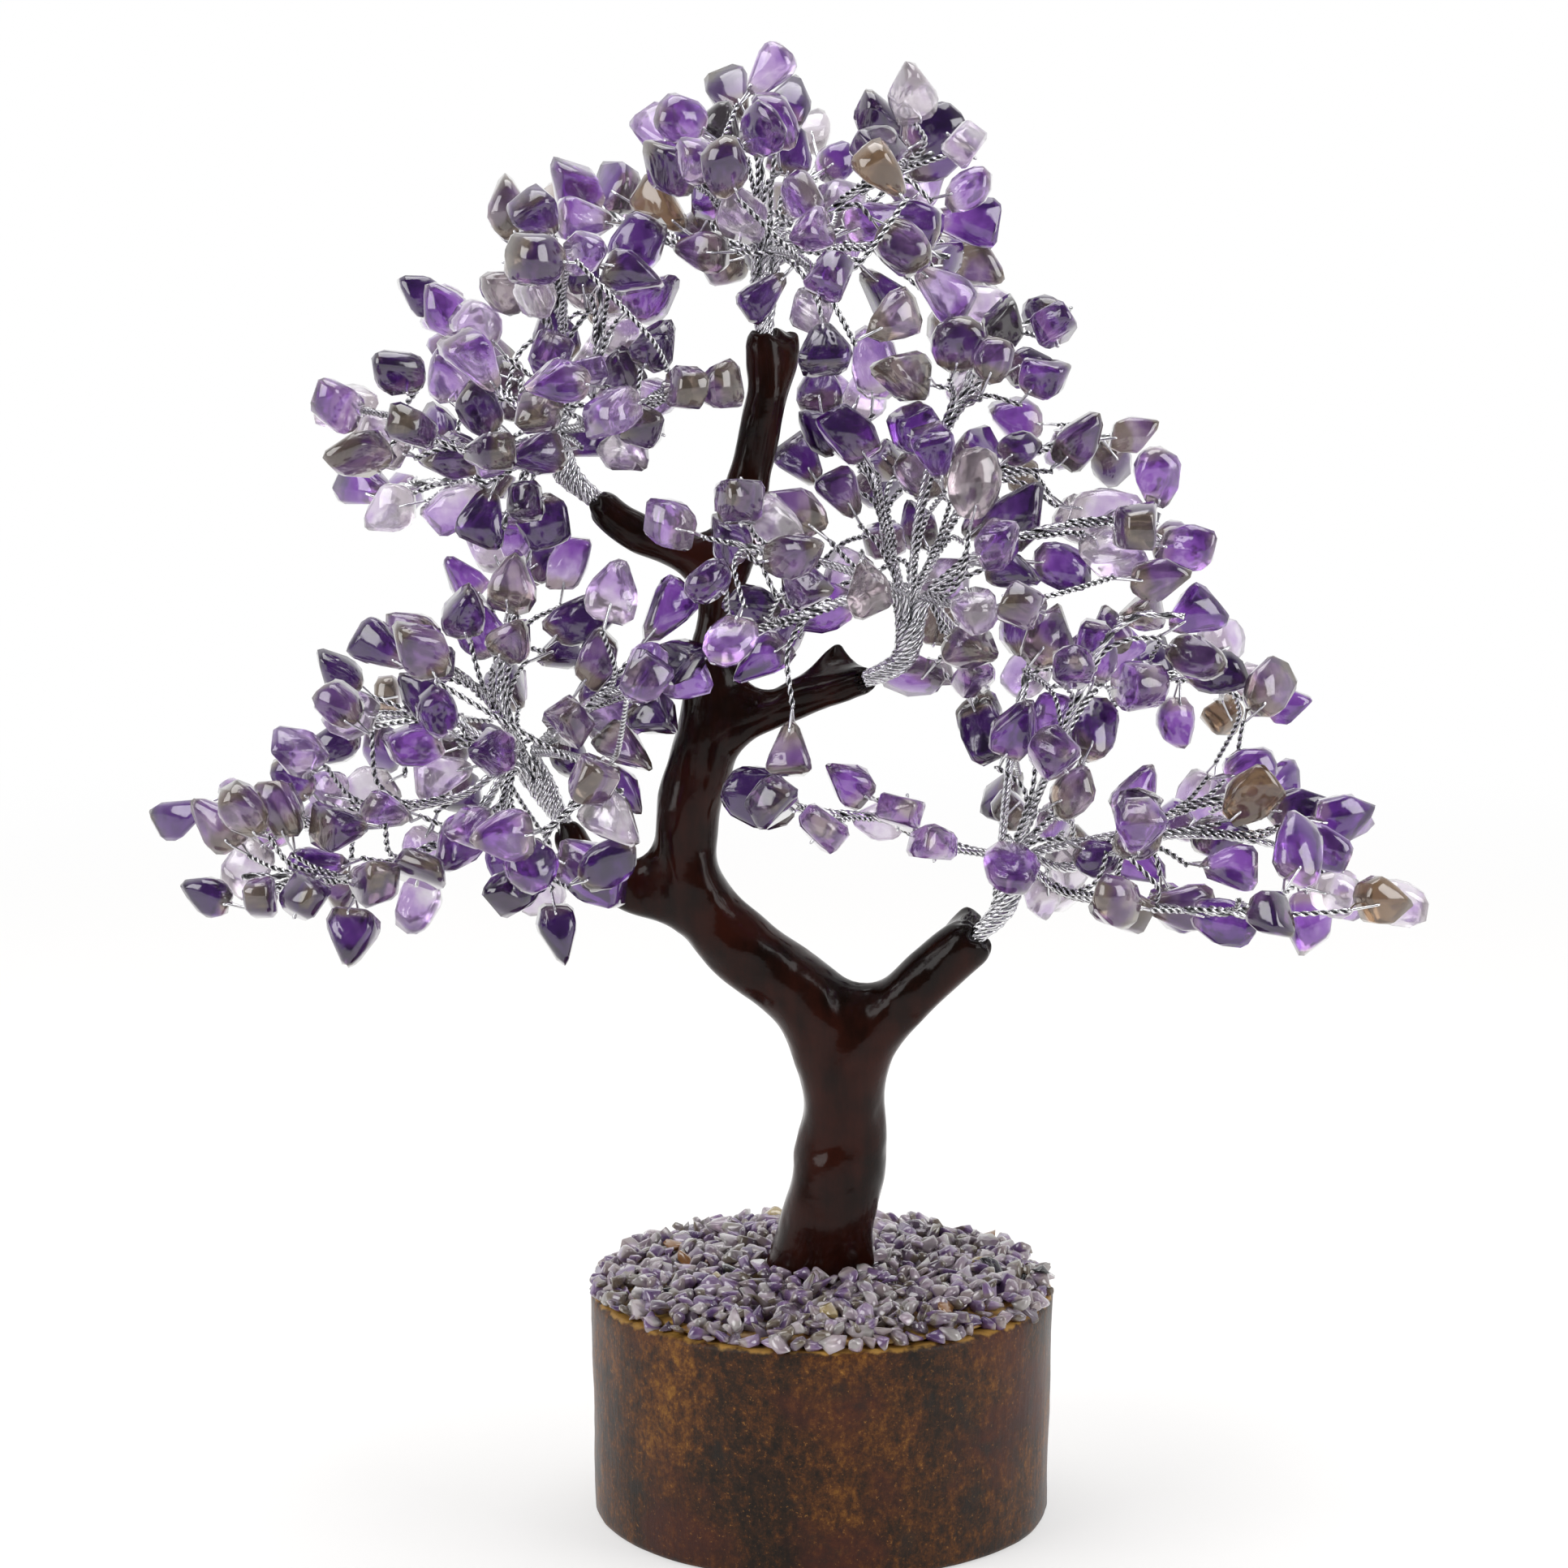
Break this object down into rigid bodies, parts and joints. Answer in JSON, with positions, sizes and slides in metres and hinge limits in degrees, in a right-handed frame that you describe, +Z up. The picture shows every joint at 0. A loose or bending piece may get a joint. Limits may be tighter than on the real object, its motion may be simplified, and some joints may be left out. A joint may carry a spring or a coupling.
{
  "type": "gemstone tree ornament",
  "caption": "Wire tree ornament with drilled amethyst chips on twisted silver wire, dark lacquered trunk and gravel-topped round wooden base; boughs can be bent",
  "frame": {"origin": "middle of the wooden base's underside", "axes": "+Z up, +X to the viewer's right in the picture, +Y away from the viewer"},
  "size_m": [0.2191, 0.1365, 0.2547],
  "materials": {
    "wood": "stained and waxed",
    "resin": "gloss",
    "gravel_violet": "polished",
    "gravel_pale": "polished",
    "gravel_smoky": "polished",
    "lacquer": "gloss lacquer",
    "wire": "bright",
    "amethyst_dark": "polished",
    "amethyst_violet": "polished",
    "amethyst_pale": "polished",
    "amethyst_smoky": "polished"
  },
  "bodies": {
    "trunk": {"wood_base": "wood", "glue_bed": "resin", "gravel_violet": "gravel_violet", "gravel_pale": "gravel_pale", "gravel_smoky": "gravel_smoky", "trunk_coat": "lacquer", "crown_core": "wire", "middle_left_core": "wire", "middle_right_core": "wire", "lower_left_core": "wire", "lower_right_core": "wire"},
    "crown_bough": {"crown_rope": "wire", "crown_strands": "wire", "crown_twigs": "wire", "crown_loops": "wire", "crown_chips_dark": "amethyst_dark", "crown_chips_violet": "amethyst_violet", "crown_chips_pale": "amethyst_pale", "crown_chips_smoky": "amethyst_smoky"},
    "middle_left_bough": {"middle_left_rope": "wire", "middle_left_strands": "wire", "middle_left_twigs": "wire", "middle_left_loops": "wire", "middle_left_chips_dark": "amethyst_dark", "middle_left_chips_violet": "amethyst_violet", "middle_left_chips_pale": "amethyst_pale", "middle_left_chips_smoky": "amethyst_smoky"},
    "middle_right_bough": {"middle_right_rope": "wire", "middle_right_strands": "wire", "middle_right_twigs": "wire", "middle_right_loops": "wire", "middle_right_chips_dark": "amethyst_dark", "middle_right_chips_violet": "amethyst_violet", "middle_right_chips_pale": "amethyst_pale", "middle_right_chips_smoky": "amethyst_smoky"},
    "lower_left_bough": {"lower_left_rope": "wire", "lower_left_strands": "wire", "lower_left_twigs": "wire", "lower_left_loops": "wire", "lower_left_chips_dark": "amethyst_dark", "lower_left_chips_violet": "amethyst_violet", "lower_left_chips_pale": "amethyst_pale", "lower_left_chips_smoky": "amethyst_smoky"},
    "lower_right_bough": {"lower_right_rope": "wire", "lower_right_strands": "wire", "lower_right_twigs": "wire", "lower_right_loops": "wire", "lower_right_chips_dark": "amethyst_dark", "lower_right_chips_violet": "amethyst_violet", "lower_right_chips_pale": "amethyst_pale", "lower_right_chips_smoky": "amethyst_smoky"}
  },
  "joints": [
    {"name": "crown_bend", "type": "hinge", "parent": "trunk", "child": "crown_bough", "pos_m": [-0.00993, 0, 0.21091], "axis": [1, 0, -0.0007], "range_deg": [-8, 8]},
    {"name": "middle_left_bend", "type": "hinge", "parent": "trunk", "child": "middle_left_bough", "pos_m": [-0.0422, 0.00334, 0.18035], "axis": [0.6268, 0, 0.7791], "range_deg": [-8, 8]},
    {"name": "middle_right_bend", "type": "hinge", "parent": "trunk", "child": "middle_right_bough", "pos_m": [0.01254, -0.0086, 0.15035], "axis": [0.374, 0, -0.9274], "range_deg": [-8, 8]},
    {"name": "lower_left_bend", "type": "hinge", "parent": "trunk", "child": "lower_left_bough", "pos_m": [-0.04676, 0.00462, 0.12464], "axis": [0.8589, 0, 0.5121], "range_deg": [-8, 8]},
    {"name": "lower_right_bend", "type": "hinge", "parent": "trunk", "child": "lower_right_bough", "pos_m": [0.02986, -0.00457, 0.10624], "axis": [0.6728, 0, -0.7398], "range_deg": [-8, 8]}
  ]
}
